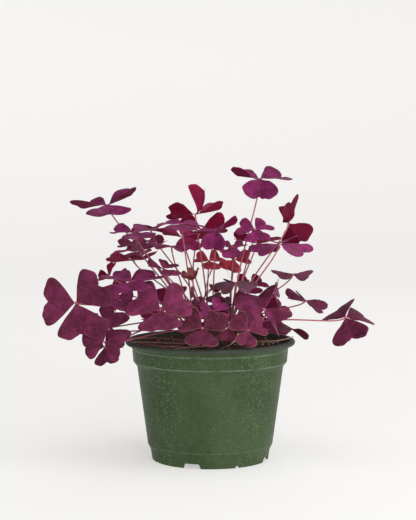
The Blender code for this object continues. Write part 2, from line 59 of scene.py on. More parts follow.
# Place of the leaf's hub, how far and toward where the leaf leans, leaflet length, then for
# each leaflet its heading, droop, fold along the rib and roll about the rib, and last the
# clump. Directions turn from +X toward +Y; -90 is the front.
leafPlaces = {
    "rightTop": ((47, 10, 264), (6, -90), 27,
        ((-98, 56, 32, 0), (30, 3, 19, 13), (150, -6, 32, 12)), "clumpRight"),
    "rightFar": ((75, 30, 221), (62, 100), 27,
        ((-78, 0, 2, 54), (68, 8, 38, -6), (-128, -72, 70, 0)), "clumpRightBack"),
    "rightHigh": ((42, -8, 217), (34, -90), 17,
        ((-80, 10, 10, 0), (40, 4, 12, 0), (160, 4, 12, 0)), "clumpRight"),
    "rightWing": ((64, -26, 205), (10, -90), 29,
        ((90, 14, 24, 0), (210, 12, 8, 0), (-30, 12, 8, 0)), "clumpRight"),
    "midHigh": ((5, -22, 217), (14, -90), 21,
        ((-97, 55, 42, 0), (22, -14, 30, -35), (178, 18, 16, 10)), "clumpFront"),
    "midRight": ((21, -2, 200), (14, -90), 13,
        ((-90, 34, 8, 0), (30, 0, 22, 0), (150, 0, 22, 0)), "clumpRight"),
    "crown": ((-14, 4, 231), (12, 100), 27,
        ((186, -2, 16, 22), (-10, -70, 72, 0), (20, -12, 34, 6)), "clumpMiddle"),
    "crownLeft": ((-26, -36, 224), (12, -90), 20,
        ((-90, 6, 8, 0), (28, 6, 7, 0), (152, 8, 7, 0)), "clumpLeft"),
    "crownLow": ((-26, 14, 209), (10, -80), 19,
        ((178, 0, 34, 0), (-60, 40, 12, 0), (58, 0, 20, 0)), "clumpMiddle"),
    "leftTop": ((-98, 20, 239), (9, -125), 31,
        ((-88, 14, 10, 0), (28, -8, 30, -8), (154, 8, 30, 4)), "clumpLeft"),
    "leftHigh": ((-70, -30, 216), (12, -90), 22,
        ((-75, 6, 12, 0), (45, 2, 14, 0), (165, 2, 20, 0)), "clumpLeft"),
    "leftHighBack": ((-57, 34, 214), (14, 90), 17,
        ((40, 0, 20, 0), (160, 0, 18, 0), (-80, 0, 18, 0)), "clumpMiddle"),
    "leftHighLow": ((-69, -2, 203), (14, -100), 18,
        ((-60, 6, 16, 0), (52, 4, 16, 0), (180, 6, 16, 0)), "clumpLeft"),
    "leftWing": ((-36, -20, 202), (8, -90), 16,
        ((90, 14, 12, 0), (200, 12, 20, 0), (-28, 14, 20, 0)), "clumpLeft"),
    "leftHook": ((-74, 34, 185), (8, 180), 24,
        ((178, 0, 32, 0), (-62, 0, 20, 0), (58, 0, 20, 0)), "clumpBack"),
    "leftMid": ((-70, -64, 174), (11, -100), 27,
        ((-90, 4, 8, 0), (30, -4, 12, 0), (150, -2, 12, 0)), "clumpLeft"),
    "leftSmall": ((-97, 4, 174), (46, 160), 14,
        ((100, 0, 30, 0), (220, 0, 30, 0), (-20, 0, 30, 0)), "clumpLeft"),
    "leftInner": ((-84, -20, 152), (40, -60), 16,
        ((30, 0, 30, 0), (150, 0, 26, 0), (-90, 0, 26, 0)), "clumpLeft"),
    "outerLeft": ((-123, -45, 152), (76, -95), 32,
        ((172, 2, 6, 0), (-78, 4, 8, 0), (36, 4, 8, 0)), "clumpLeft"),
    "leftRound": ((-93, -40, 127), (66, -80), 20,
        ((78, 0, 10, 0), (200, 8, 18, 0), (-42, 8, 18, 0)), "clumpLeft"),
    "leftDroop": ((-96, -66, 119), (62, -90), 19,
        ((-25, 0, 10, 16), (122, -20, 26, 0), (-160, 8, 12, 0)), "clumpFront"),
    "leftLow": ((-99, -12, 107), (74, -100), 17,
        ((-88, 0, 8, 0), (30, 10, 22, 0), (155, 10, 22, 0)), "clumpLeft"),
    "leftTuck": ((-112, 8, 124), (48, -110), 14,
        ((215, 0, 22, 0), (-25, 0, 22, 0), (95, 0, 22, 0)), "clumpBack"),
    "frontLeft": ((-45, -64, 148), (62, -90), 28,
        ((-90, -18, 10, 0), (30, 4, 12, 0), (150, 4, 12, 0)), "clumpFront"),
    "frontLeftHigh": ((-43, -38, 183), (20, -60), 16,
        ((185, 0, 24, 0), (-55, 0, 14, 0), (65, 0, 18, 0)), "clumpLeft"),
    "young": ((-17, -34, 173), (20, -120), 11,
        ((-60, -30, 44, 0), (60, -34, 44, 0), (180, -34, 44, 0)), "clumpFront"),
    "sprout": ((5, -2, 158), (10, 30), 9,
        ((20, -34, 44, 0), (140, -38, 44, 0), (260, -34, 44, 0)), "clumpMiddle"),
    "redBackLeft": ((-1, 43, 184), (34, -80), 15,
        ((-80, 0, 18, 0), (40, 4, 20, 0), (160, 4, 20, 0)), "clumpBack"),
    "redBackRight": ((24, 55, 184), (44, -80), 16,
        ((-110, 0, 20, 0), (10, 0, 24, 0), (130, 0, 24, 0)), "clumpRightBack"),
    "frontHang": ((-7, -70, 132), (46, -90), 20,
        ((-90, 4, 10, 0), (30, 0, 14, 0), (150, 0, 14, 0)), "clumpFront"),
    "frontMid": ((3, -44, 144), (52, -95), 14,
        ((-70, 0, 14, 0), (50, 0, 16, 0), (170, 0, 16, 0)), "clumpFront"),
    "frontRim": ((16, -60, 131), (56, -85), 14,
        ((-95, 4, 16, 0), (25, 0, 16, 0), (145, 0, 16, 0)), "clumpFront"),
    "frontRimRight": ((34, -71, 130), (58, -80), 16,
        ((-95, 4, 32, 0), (25, 0, 28, 0), (145, 0, 28, 0)), "clumpRight"),
    "frontHigh": ((7, -29, 149), (50, -90), 12,
        ((120, 0, 6, 0), (240, 0, 8, 0), (0, 0, 8, 0)), "clumpFront"),
    "rightGrey": ((23, -40, 170), (14, -90), 19,
        ((90, 22, 20, 0), (210, 14, 8, 0), (-30, 14, 8, 0)), "clumpRight"),
    "rightBig": ((50, -35, 145), (66, -88), 27,
        ((190, -6, 6, 0), (-32, 64, 50, 0), (110, 40, 30, 0)), "clumpRight"),
    "rightEdge": ((62, 1, 154), (84, -6), 15,
        ((0, 0, 18, 0), (120, 0, 18, 0), (240, 0, 18, 0)), "clumpRight"),
    "bow": ((79, 22, 172), (20, -90), 18,
        ((90, 26, 8, 0), (205, -6, 6, 0), (-25, -6, 6, 0)), "clumpRightBack"),
    "rightSmall": ((90, 2, 149), (24, -50), 20,
        ((-20, 10, 14, 0), (80, 30, 30, 0), (190, 0, 20, 0)), "clumpRight"),
    "outerRight": ((126, -20, 136), (62, -118), 26,
        ((5, 60, 4, -26), (-89, 0, 8, 0), (116, 34, 6, 12)), "clumpRight"),
    "rimRight": ((74, 6, 124), (36, 0), 22,
        ((-8, 4, 30, 0), (112, 34, 24, 0), (232, 34, 24, 0)), "clumpRight"),
    "backHigh": ((-9, 54, 214), (26, 90), 25,
        ((90, 6, 16, 0), (210, 0, 20, 0), (-8, -4, 30, -20)), "clumpBack"),
    "backLeftHigh": ((-66, 64, 193), (24, 130), 26,
        ((110, 4, 16, 0), (230, 0, 20, 0), (-10, 0, 20, 0)), "clumpBack"),
    "backLeft": ((-84, 62, 152), (48, 130), 27,
        ((130, 4, 12, 0), (250, 0, 20, 0), (10, 0, 20, 0)), "clumpBack"),
    "backLeftLow": ((-44, 71, 134), (58, 115), 26,
        ((-60, 4, 12, 0), (60, 0, 16, 0), (180, 0, 16, 0)), "clumpBack"),
    "backLow": ((-2, 75, 124), (60, 90), 24,
        ((95, 4, 12, 0), (215, 0, 16, 0), (-25, 0, 16, 0)), "clumpBack"),
    "backRightLow": ((54, 71, 126), (60, 70), 25,
        ((60, 4, 12, 0), (180, 0, 16, 0), (300, 0, 16, 0)), "clumpRightBack"),
    "backRight": ((39, 56, 159), (44, 80), 16,
        ((-40, 4, 14, 0), (80, 0, 20, 0), (200, 0, 20, 0)), "clumpRightBack"),
    "backRightHigh": ((46, 58, 200), (26, 60), 24,
        ((60, 4, 16, 0), (180, 0, 20, 0), (300, 0, 20, 0)), "clumpRightBack"),
}

# Tint of the purple, as red, green and blue factors, and how pale the leaf's edge is.
leafTints = {
    "plum": (1.05, 1.7, 1.12, 0.18),
    "magenta": (1.2, 1.2, 1.42, 0.12),
    # painted light: a brighter copy of the purple that lifts the shade on leaves that sit in shadow
    "litViolet": (1.55, 2.1, 1.85, 0.14),
    # painted light: a much brighter copy of the purple for the inner and back leaves, which are seen from below in
    # shade
    "inner": (1.6, 2.8, 2.1, 0.14),
    "crimson": (0.84, 0.48, 0.62, 0.1),
    # painted light: a brighter copy of the purple on the crown and back leaves, standing in for light that shines
    # through them
    "litRuby": (1.6, 1.2, 1.3, 0.1),
    "red": (2.4, 2.6, 1.0, 0.1),
    "grey": (0.7, 2.6, 1.0, 0.16),
    "brown": (1.6, 5.0, 1.1, 0.1),
    # painted shade: a darker copy of the purple on the low outer leaves that hang in shadow
    "shadedWine": (0.78, 1.2, 0.8, 0.25),
    "edged": (0.82, 1.45, 0.8, 0.65),
}
leafTones = {  # the other leaves are plum
    "magenta": ("rightTop", "leftTop", "rightHigh", "rightWing", "leftMid", "leftHigh", "midHigh",
                "rightEdge", "crownLeft"),
    "litViolet": ("midRight", "frontMid", "leftWing"),
    "inner": ("leftInner", "backLeft", "backLeftLow", "backLeftHigh", "backLow", "backRight", "backRightLow"),
    "crimson": ("rightFar",),
    "litRuby": ("crown", "crownLow", "backHigh", "leftSmall", "leftHighBack", "leftTuck", "backRightHigh", "leftHook"),
    "red": ("redBackLeft", "redBackRight"),
    "grey": ("rightGrey", "frontHigh"),
    "brown": ("young", "sprout"),
    "shadedWine": ("outerLeft", "outerRight", "rightSmall", "rimRight", "leftLow", "leftDroop"),
    "edged": ("frontHang", "frontRim", "frontRimRight"),
}


def put(tree, kind, values=None, **settings):  # adds a shader node and wires or sets its sockets
    node = tree.nodes.new("ShaderNode" + kind)
    for key, value in settings.items():
        setattr(node, key, value)
    for key, value in (values or {}).items():
        if isinstance(value, bpy.types.NodeSocket):
            tree.links.new(value, node.inputs[key])
        else:
            node.inputs[key].default_value = value
    return node


def newGroup(name, inputs, output, kind="NodeSocketFloat"):
    tree = bpy.data.node_groups.new(name, "ShaderNodeTree")
    for label, value in inputs.items():
        socket = tree.interface.new_socket(name=label, in_out="INPUT", socket_type="NodeSocketFloat")
        socket.default_value = value
    tree.interface.new_socket(name=output, in_out="OUTPUT", socket_type=kind)
    return tree, tree.nodes.new("NodeGroupInput").outputs, tree.nodes.new("NodeGroupOutput").inputs


def useGroup(tree, group, values):
    return put(tree, "Group", values, node_tree=group).outputs[0]


def newMaterial(name, constants):
    made = bpy.data.materials.new(name)
    made.use_nodes = True
    shader = made.node_tree.nodes["Principled BSDF"]
    for key, value in constants.items():
        shader.inputs[key].default_value = value
    return made, made.node_tree, shader


def ramp(tree, factor, stops):
    node = put(tree, "ValToRGB", {"Fac": factor})
    points = node.color_ramp.elements
    while len(points) < len(stops):
        points.new(0.5)
    for point, (place, colour) in zip(points, stops):
        point.position = place
        point.color = (*colour, 1.0)
    return node.outputs["Color"]


def blend(tree, factor, first, second, mode="MIX"):
    first, second = [(*value, 1.0) if isinstance(value, tuple) else value for value in (first, second)]
    return put(tree, "Mix", {0: factor, 6: first, 7: second}, data_type="RGBA", blend_type=mode).outputs[2]


def sums(tree, operation, first, second=0.0, clamp=False):
    return put(tree, "Math", {0: first, 1: second}, operation=operation, use_clamp=clamp).outputs[0]


def times(tree, first, second):
    return sums(tree, "MULTIPLY", first, second)


def scaled(tree, value, *limits):  # from the first two limits to the last two, in a straight line
    limits = dict(zip(("From Min", "From Max", "To Min", "To Max"), limits))
    return put(tree, "MapRange", {"Value": value, **limits}).outputs[0]


def steps(tree, value, low, high):  # 0 below low, 1 above high, smooth between
    return put(tree, "MapRange", {"Value": value, "From Min": low, "From Max": high},
               interpolation_type="SMOOTHSTEP").outputs[0]


def newMesh(bm, name):
    mesh = bpy.data.meshes.new(name)
    bm.to_mesh(mesh)
    bm.free()
    return mesh


def newObject(bm, name, materials):
    mesh = newMesh(bm, name)
    piece = bpy.data.objects.new(name, mesh)
    bpy.context.scene.collection.objects.link(piece)
    for each in materials:
        mesh.materials.append(each)
    mesh.shade_smooth()
    return piece


def finishPiece(bm, name, materials, node=None, shell=None):
    piece = newObject(bm, name, materials)
    if shell:
        wall = piece.modifiers.new("Wall", "SOLIDIFY")
        wall.thickness = shell
        wall.offset = -1.0
        wall.use_even_offset = True
        wall.material_offset = len(materials) - 1
    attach(piece, "root")
    if node:
        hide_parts(node)
    return piece


# Soft patches of any size, from 0 to 1.
mottle, given, gives = newGroup("mottle", {"Size": 0.01, "Low": 0.4, "High": 0.6}, "Mask")
coords = put(mottle, "TexCoord").outputs["Object"]
scale = sums(mottle, "DIVIDE", 1.0, given["Size"])
cloud = put(mottle, "TexNoise", {"Vector": coords, "Scale": scale, "Detail": 4.0, "Roughness": 0.6})
mottle.links.new(steps(mottle, cloud.outputs["Fac"], given["Low"], given["High"]), gives[0])

# Small round flecks, each in a cell of its own, of which only a share shows.
flecks, given, gives = newGroup("flecks", {"Spacing": 0.003, "Width": 0.2, "Share": 0.5}, "Mask")
coords = put(flecks, "TexCoord").outputs["Object"]
scale = sums(flecks, "DIVIDE", 1.0, given["Spacing"])
cells = put(flecks, "TexVoronoi", {"Vector": coords, "Scale": scale})
near = sums(flecks, "DIVIDE", cells.outputs["Distance"], given["Width"])
near = sums(flecks, "SUBTRACT", 1.0, near, clamp=True)
picked = put(flecks, "SeparateXYZ", {"Vector": cells.outputs["Color"]}).outputs[0]
picked = sums(flecks, "LESS_THAN", picked, given["Share"])
near = times(flecks, steps(flecks, near, 0.0, 0.5), picked)
flecks.links.new(near, gives[0])

# Fine grain as a normal, on top of a height that is given.
grain, given, gives = newGroup("grain", {"Size": 0.001, "Depth": 0.0001, "Height": 0.0},
                               "Normal", "NodeSocketVector")
coords = put(grain, "TexCoord").outputs["Object"]
scale = sums(grain, "DIVIDE", 1.0, given["Size"])
cloud = put(grain, "TexNoise", {"Vector": coords, "Scale": scale, "Detail": 3.0})
height = sums(grain, "ADD", cloud.outputs["Fac"], given["Height"])
bump = put(grain, "Bump", {"Strength": 1.0, "Distance": given["Depth"], "Height": height})
grain.links.new(bump.outputs["Normal"], gives[0])


def patches(tree, size, low, high):
    return useGroup(tree, mottle, {"Size": size, "Low": low, "High": high})


def dotted(tree, spacing, width, share):
    return useGroup(tree, flecks, {"Spacing": spacing, "Width": width, "Share": share})


def grained(tree, shader, size, depth, height):
    normal = useGroup(tree, grain, {"Size": size, "Depth": depth, "Height": height})
    tree.links.new(normal, shader.inputs["Normal"])


def layer(tree, colour, mask, share, over):  # lays a colour over another where the mask is, by a share
    return blend(tree, times(tree, mask, share), colour, over)


# rough, gloss, through, raise and the shares of hairs, veins and ribs are for the top and the underside.
# In every material patches have a size and two levels, flecks a spacing, width and share, a grain a size
# and depth, and other pairs say where a mask starts and is full.
leafLook = {
    "deep": (0.12, 0.012, 0.045),
    "bright": (0.23, 0.02, 0.1),
    "under": (0.18, 0.006, 0.04),
    "underDeep": (0.115, 0.006, 0.032),
    "edge": (0.42, 0.19, 0.16),
    "rib": (0.215, 0.028, 0.08),
    "hair": (0.3, 0.11, 0.2),
    "rough": (0.5, 0.62),
    "gloss": (0.05, 0.04),
    "through": (0.22, 0.6),
    "glow": (1.0, 0.16, 0.3),
    "glowDepth": 0.0009,
    "patch": (0.009, 0.36, 0.66),
    "freckle": (0.0016, 0.38, 0.64),
    "freckleShare": 0.3,
    "freckleColour": (0.05, 0.012, 0.03),
    "hairs": (0.0012, 0.36, 0.5),
    "hairShare": (0.42, 0.12),
    "veins": 9.0,
    "veinSlope": 0.8,
    "veinWander": (4.0, 0.12),
    "veinWidth": 0.1,
    "veinFade": (0.02, 0.45),
    "veinShare": (0.09, 0.16),
    "ribWidth": (0.004, 0.03),
    "ribShare": (0.32, 0.45),
    "base": (0.05, 0.16),
    "baseShare": 0.55,
    "margin": (0.01, 0.055),
    "veinRaise": 0.9,
    "ribRaise": 2.0,
    "raise": (-0.4, 0.5),
    "grain": (0.0007, 0.00012),
}


def leafMaterial(name, under):
    look = leafLook
    face = int(under)
    made, tree, shader = newMaterial(name, {
        "Roughness": look["rough"][face], "Specular IOR Level": look["gloss"][face],
        "Subsurface Weight": look["through"][face],
        "Subsurface Radius": look["glow"], "Subsurface Scale": look["glowDepth"]})
    place = put(tree, "Attribute", attribute_name="leafPlace").outputs["Vector"]
    along, across, rim = put(tree, "SeparateXYZ", {"Vector": place}).outputs
    tint = put(tree, "Attribute", attribute_name="tint").outputs
    side = sums(tree, "ABSOLUTE", across)
    # side veins leave the rib forward and outward
    wanderScale, wanderSize = look["veinWander"]
    wander = put(tree, "TexNoise", {"Vector": place, "Scale": wanderScale, "Detail": 2.0})
    wander = times(tree, wander.outputs["Fac"], wanderSize)
    run = sums(tree, "SUBTRACT", sums(tree, "ADD", along, wander), times(tree, side, look["veinSlope"]))
    wave = sums(tree, "PINGPONG", times(tree, run, look["veins"]), 0.5)
    vein = sums(tree, "SUBTRACT", 1.0, steps(tree, wave, 0.0, look["veinWidth"]))
    vein = times(tree, vein, steps(tree, rim, *look["veinFade"]))
    rib = sums(tree, "SUBTRACT", 1.0, steps(tree, side, *look["ribWidth"]))
    base = sums(tree, "SUBTRACT", 1.0, steps(tree, along, *look["base"]))
    margin = sums(tree, "SUBTRACT", 1.0, steps(tree, rim, *look["margin"]))
    first, second = (look["underDeep"], look["under"]) if under else (look["deep"], look["bright"])
    colour = blend(tree, patches(tree, *look["patch"]), first, second)
    freckle = patches(tree, *look["freckle"])
    colour = layer(tree, colour, freckle, look["freckleShare"], look["freckleColour"])
    colour = blend(tree, 1.0, colour, tint["Color"], "MULTIPLY")
    colour = layer(tree, colour, dotted(tree, *look["hairs"]), look["hairShare"][face], look["hair"])
    colour = layer(tree, colour, vein, look["veinShare"][face], look["rib"])
    colour = layer(tree, colour, rib, look["ribShare"][face], look["rib"])
    colour = layer(tree, colour, base, look["baseShare"], look["rib"])
    colour = layer(tree, colour, margin, tint["Alpha"], look["edge"])
    tree.links.new(colour, shader.inputs["Base Color"])
    lines = sums(tree, "ADD", times(tree, vein, look["veinRaise"]), times(tree, rib, look["ribRaise"]))
    grained(tree, shader, *look["grain"], times(tree, lines, look["raise"][face]))
    return made


# Half outline of a leaflet of unit length, along and across, from its base to its notch.
leafletShape = {
    "edge": ((0.035, 0.022), (0.12, 0.115), (0.25, 0.28), (0.4, 0.462), (0.62, 0.672), (0.8, 0.722),
             (0.94, 0.605), (1.0, 0.38), (0.955, 0.165), (0.862, 0.02)),
    "notch": 0.85,
    "cuts": 3,
    "rows": 7,
    "hub": 1.5,
    "droopAtBase": 0.55,
    "foldStart": 0.3,
    "crease": 0.05,
    "curl": 0.1,
    "ripple": 0.045,
    "rippleSize": 3.2,
    "scallop": 0.065,
    "scallopSize": 3.2,
    "middle": 0.45,
    "thickness": 0.34,
    # how much leaflets differ in size, turn, droop and roll, as in the CAD, and then in width and light
    "spread": ((0.94, 1.05), (-4, 4), (-5, 5), (-5, 5)),
    "widths": (0.95, 1.05),
    "light": (0.84, 1.16),
    "leafLight": (0.85, 1.15),
}


def smoothLine(points, cuts):
    points = [Vector((*point, 0.0)) for point in points]
    ends = [points[0]] + points + [points[-1]]
    line = []
    for before, start, end, after in zip(ends, ends[1:], ends[2:], ends[3:]):
        line += interpolate_bezier(start, start + (end - before) / 6, end - (after - start) / 6, end,
                                   cuts + 1)[:-1]
    return line + [points[-1]]


def unitLeaflet():
    shape = leafletShape
    outline = smoothLine(shape["edge"], shape["cuts"])
    count = len(outline)
    bm = bmesh.new()
    bm.verts.layers.float_color.new("tint")
    place = bm.verts.layers.float_vector.new("leafPlace")
    start = shape["edge"][0][0]
    rib = [bm.verts.new((start + (shape["notch"] - start) * i / (count - 1), 0, 0)) for i in range(count)]
    row = [bm.edges.new(pair) for pair in zip(rib, rib[1:])]
    for number in range(1, shape["rows"] + 1):
        grown = bmesh.ops.extrude_edge_only(bm, edges=row)["geom"]
        row = [part for part in grown if isinstance(part, bmesh.types.BMEdge)
               and all(vert in grown for vert in part.verts)]
        verts = sorted((part for part in grown if isinstance(part, bmesh.types.BMVert)),
                       key=lambda vert: vert.co.x)
        for vert in verts:
            vert[place].z = number / shape["rows"]
    bm.verts.ensure_lookup_table()
    for vert in bm.verts:  # every row still lies on the rib, so the place along it names the step
        step = round((vert.co.x - start) / (shape["notch"] - start) * (count - 1))
        share = vert[place].z
        vert.co = Vector((vert.co.x, 0, 0)).lerp(outline[step], share)
        vert[place].z = 1.0 - share
    bmesh.ops.mirror(bm, geom=bm.verts[:] + bm.edges[:] + bm.faces[:], axis="Y", merge_dist=1e-5)
    bmesh.ops.recalc_face_normals(bm, faces=bm.faces[:])
    if bm.faces[:][0].normal.z < 0:
        bmesh.ops.reverse_faces(bm, faces=bm.faces[:])
    for vert in bm.verts:
        vert[place] = (vert.co.x, vert.co.y, vert[place].z)
    return newMesh(bm, "unitLeaflet")


def leafTurn(lean, toward):
    swing = Matrix.Rotation(math.radians(toward), 3, "Z")
    return swing @ Matrix.Rotation(math.radians(lean), 3, "Y") @ swing.inverted()


# The leaflet turns down from the hub's edge, and its halves rise from the rib and curl over.
def bladePoint(length, droop, fold, roll, along, across):
    shape = leafletShape
    reach = along * length - shape["hub"]
    bend = math.radians(droop) * (shape["droopAtBase"] + (1 - shape["droopAtBase"]) * along)
    if reach < 0:
        bend = 0.0
    opened = max(0.0, min(1.0, reach / (shape["foldStart"] * length)))
    wing = math.radians(fold + roll * math.copysign(1.0, across)) * opened
    away = math.hypot(across, shape["crease"]) - shape["crease"]
    lift = away * length * math.sin(wing) - shape["curl"] * across * across * length * opened
    forward = shape["hub"] + reach * math.cos(bend) + lift * math.sin(bend)
    height = lift * math.cos(bend) - reach * math.sin(bend)
    return Vector((forward, across * length * math.cos(wing), height))


def buildLeaf(name, tone, leaflet, materials):
    shape = leafletShape
    hub, (lean, toward), size, leaflets, _clump = leafPlaces[name]
    turn = leafTurn(lean, toward)
    draw = random.Random(name)
    spread = [[draw.uniform(*limits) for limits in shape["spread"]] for _ in leaflets]
    shade = random.Random(name + "Shade")
    light = shade.uniform(*shape["leafLight"])
    glints = random.Random(name + "Glint")
    red, green, blue, pale = leafTints[tone]
    bm = bmesh.new()
    for (heading, droop, fold, roll), (scale, spin, moreDroop, moreRoll) in zip(leaflets, spread):
        length = size * scale
        wide = shade.uniform(*shape["widths"])
        own = light * glints.uniform(*shape["light"])
        seed = Vector([shade.uniform(0, 50) for _ in range(3)])
        real = turn @ Matrix.Rotation(math.radians(heading + spin), 3, "Z")
        before = len(bm.verts)
        bm.from_mesh(leaflet)
        place = bm.verts.layers.float_vector["leafPlace"]
        tint = bm.verts.layers.float_color["tint"]
        bm.verts.ensure_lookup_table()
        for vert in bm.verts[before:]:
            along, across, rim = vert[place]
            outer = (1 - rim) ** 2
            around = math.atan2(across, along - shape["middle"]) * shape["scallopSize"]
            wave = 1 + shape["scallop"] * outer * noise.noise(seed + Vector((around, 0, 9)))
            point = bladePoint(length, droop + moreDroop, fold, roll + moreRoll, along * wave,
                               across * wide * wave)
            ripple = noise.noise(seed + Vector((along, across, 0)) * shape["rippleSize"])
            point.z += shape["ripple"] * length * outer * ripple
            vert.co = (real @ point + Vector(hub)) * mm
            vert[tint] = (red * own, green * own, blue * own, pale)
    return finishPiece(bm, name + "Leaf", materials, name, shape["thickness"] * mm)


leafTop = leafMaterial("leafTop", False)
leafUnder = leafMaterial("leafUnder", True)
leaflet = unitLeaflet()
toneOf = {name: tone for tone, names in leafTones.items() for name in names}
for name in leafPlaces:
    buildLeaf(name, toneOf.get(name, "plum"), leaflet, [leafTop, leafUnder])
bpy.data.meshes.remove(leaflet)
print("leaves done:", len(leafPlaces))


clumps = {
    "clumpLeft": (-15.0, -4.0),
    "clumpFront": (0.0, -14.0),
    "clumpMiddle": (2.0, 4.0),
    "clumpRight": (17.0, -6.0),
    "clumpRightBack": (16.0, 14.0),
    "clumpBack": (-4.0, 21.0),
}
# How far some stalks bend aside in their middle.
stalkBends = {
    "leftMid": (-8, 28, 0),
    "leftRound": (0, 0, -6),
    "leftDroop": (0, 0, -6),
    "leftLow": (0, 0, 12),
    "frontRimRight": (4, -4, 0),
    "rightBig": (-4, 0, 6),
    "rightSmall": (0, 0, 4),
    "outerRight": (0, -6, -2),
    "backHigh": (-18, 14, 0),
}
stalkLook = {
    "footHeight": 106.0,
    "spread": 2.8,
    "rise": 0.42,
    "approach": 0.2,
    "footRadius": 0.95,
    "tipRadius": 0.6,
    "steps": 20,
    "sides": 9,
    "wobble": 0.5,
    "wobbleSize": 2.6,
    "taper": 0.6,
    "tipFlare": (1.25, 1.45),
    "tipGap": 0.5,
    "knob": (1.05, 1.05, 0.63),
    "knobRise": 0.3,
    "light": (0.75, 1.25),
    "warm": (0.85, 1.25),
    "cool": (0.85, 1.05),
    "crown": (5.2, 5.2, 11.0),
    "crownHeight": 101.0,
    "crownShade": (0.8, 0.7, 0.6),
    "crownRough": 0.5,
    "crownGrain": 500,
    "crownClimb": 0.1,
    "foot": (0.21, 0.042, 0.06),
    "middle": (0.445, 0.104, 0.176),
    "middleFrom": (0.3, 0.85),
    "tip": (0.57, 0.175, 0.24),
    "streak": (0.004, 0.4, 0.66),
    "streakShare": 0.45,
    "streakColour": (0.15, 0.03, 0.045),
    "grain": (0.0009, 0.00008),
    "skin": {"Roughness": 0.45, "Specular IOR Level": 0.4, "Subsurface Weight": 0.15,
             "Subsurface Radius": (1.0, 0.3, 0.3), "Subsurface Scale": 0.0008},
}


def stalkMaterial():
    look = stalkLook
    made, tree, shader = newMaterial("stalk", look["skin"])
    climb = put(tree, "Attribute", attribute_name="climb").outputs["Fac"]
    tint = put(tree, "Attribute", attribute_name="tint").outputs["Color"]
    start, end = look["middleFrom"]
    middle = look["middle"]
    colour = ramp(tree, climb, [(0.0, look["foot"]), (start, middle), (end, middle), (1.0, look["tip"])])
    colour = layer(tree, colour, patches(tree, *look["streak"]), look["streakShare"], look["streakColour"])
    colour = blend(tree, 1.0, colour, tint, "MULTIPLY")
    tree.links.new(colour, shader.inputs["Base Color"])
    grained(tree, shader, *look["grain"], 0.0)
    return made


def stalkLine(name):
    look = stalkLook
    hub, (lean, toward), _size, _leaflets, clump = leafPlaces[name]
    axis = leafTurn(lean, toward) @ Vector((0, 0, 1))
    tip = Vector(hub) - axis * look["tipGap"]
    centre = Vector((*clumps[clump], look["footHeight"]))
    foot = centre + Vector((tip.x - centre.x, tip.y - centre.y, 0.0)).normalized() * look["spread"]
    span = (tip - foot).length
    bend = Vector(stalkBends.get(name, (0, 0, 0)))
    rise = foot + Vector((0, 0, look["rise"] * span)) + bend
    arrival = (axis + (tip - foot).normalized()).normalized()
    approach = tip - arrival * look["approach"] * span + bend / 2
    seed = Vector((random.Random(name).uniform(0, 90), 0, 0))
    line = interpolate_bezier(foot, rise, approach, tip, look["steps"] + 1)
    for index, point in enumerate(line):
        share = index / look["steps"]
        sideways = noise.noise_vector(seed + Vector((0, share * look["wobbleSize"], 0)))
        line[index] = point + sideways * look["wobble"] * math.sin(math.pi * share)
    return line, axis


def addTube(bm, line, radii, shade, climbs, endTangent=None):
    look = stalkLook
    climb = bm.verts.layers.float["climb"]
    tint = bm.verts.layers.float_color["tint"]
    rings = []
    last = len(line) - 1
    for index, point in enumerate(line):
        tangent = (line[min(index + 1, last)] - line[max(index - 1, 0)]).normalized()
        if index == last and endTangent:
            tangent = endTangent
        turn = tangent.to_track_quat("Z", "Y").to_matrix().to_4x4()
        made = bmesh.ops.create_circle(bm, segments=look["sides"], radius=radii[index] * mm,
                                       matrix=Matrix.Translation(point * mm) @ turn)["verts"]
        for vert in made:
            vert[climb] = climbs[index]
            vert[tint] = (*shade, 1.0)
        rings.append(list(dict.fromkeys(edge for vert in made for edge in vert.link_edges)))
    for first, second in zip(rings, rings[1:]):
        bmesh.ops.bridge_loops(bm, edges=first + second)
    bmesh.ops.holes_fill(bm, edges=rings[0] + rings[-1], sides=look["sides"])


def addKnob(bm, centre, axis, size, shade, climbTo):
    climb = bm.verts.layers.float["climb"]
    tint = bm.verts.layers.float_color["tint"]
    turn = axis.to_track_quat("Z", "Y").to_matrix().to_4x4()
    shape = Matrix.Diagonal((*(Vector(size) * mm), 1.0))
    made = bmesh.ops.create_icosphere(bm, subdivisions=2, radius=1.0,
                                      matrix=Matrix.Translation(centre * mm) @ turn @ shape)["verts"]
    for vert in made:
        vert[climb] = climbTo
        vert[tint] = (*shade, 1.0)
    return made


def newStalkMesh():
    bm = bmesh.new()
    bm.verts.layers.float.new("climb")
    bm.verts.layers.float_color.new("tint")
    return bm


def buildClump(name, material):
    look = stalkLook
    x, y = clumps[name]
    bm = newStalkMesh()
    crown = addKnob(bm, Vector((x, y, look["crownHeight"])), Vector((0, 0, 1)), look["crown"],
                    look["crownShade"], look["crownClimb"])
    for vert in crown:
        vert.co += vert.normal * look["crownRough"] * mm * noise.noise(vert.co * look["crownGrain"])
    for leaf, values in leafPlaces.items():
        if values[4] != name:
            continue
        draw = random.Random(leaf + "Stalk")
        light, warm, cool = [draw.uniform(*look[key]) for key in ("light", "warm", "cool")]
        shade = (light, light * warm, light * cool)
        line, axis = stalkLine(leaf)
        shares = [index / look["steps"] for index in range(len(line))]
        radii = [look["footRadius"] + (look["tipRadius"] - look["footRadius"]) * share ** look["taper"]
                 for share in shares]
        radii[-2:] = [radius * flare for radius, flare in zip(radii[-2:], look["tipFlare"])]
        addTube(bm, line, radii, shade, shares, axis)
        addKnob(bm, line[-1] + axis * look["knobRise"], axis, look["knob"], shade, 1.0)
    bmesh.ops.recalc_face_normals(bm, faces=bm.faces[:])
    finishPiece(bm, name + "Stalks", [material], name)


stalk = stalkMaterial()
for name in clumps:
    buildClump(name, stalk)
print("stalks and crowns done")


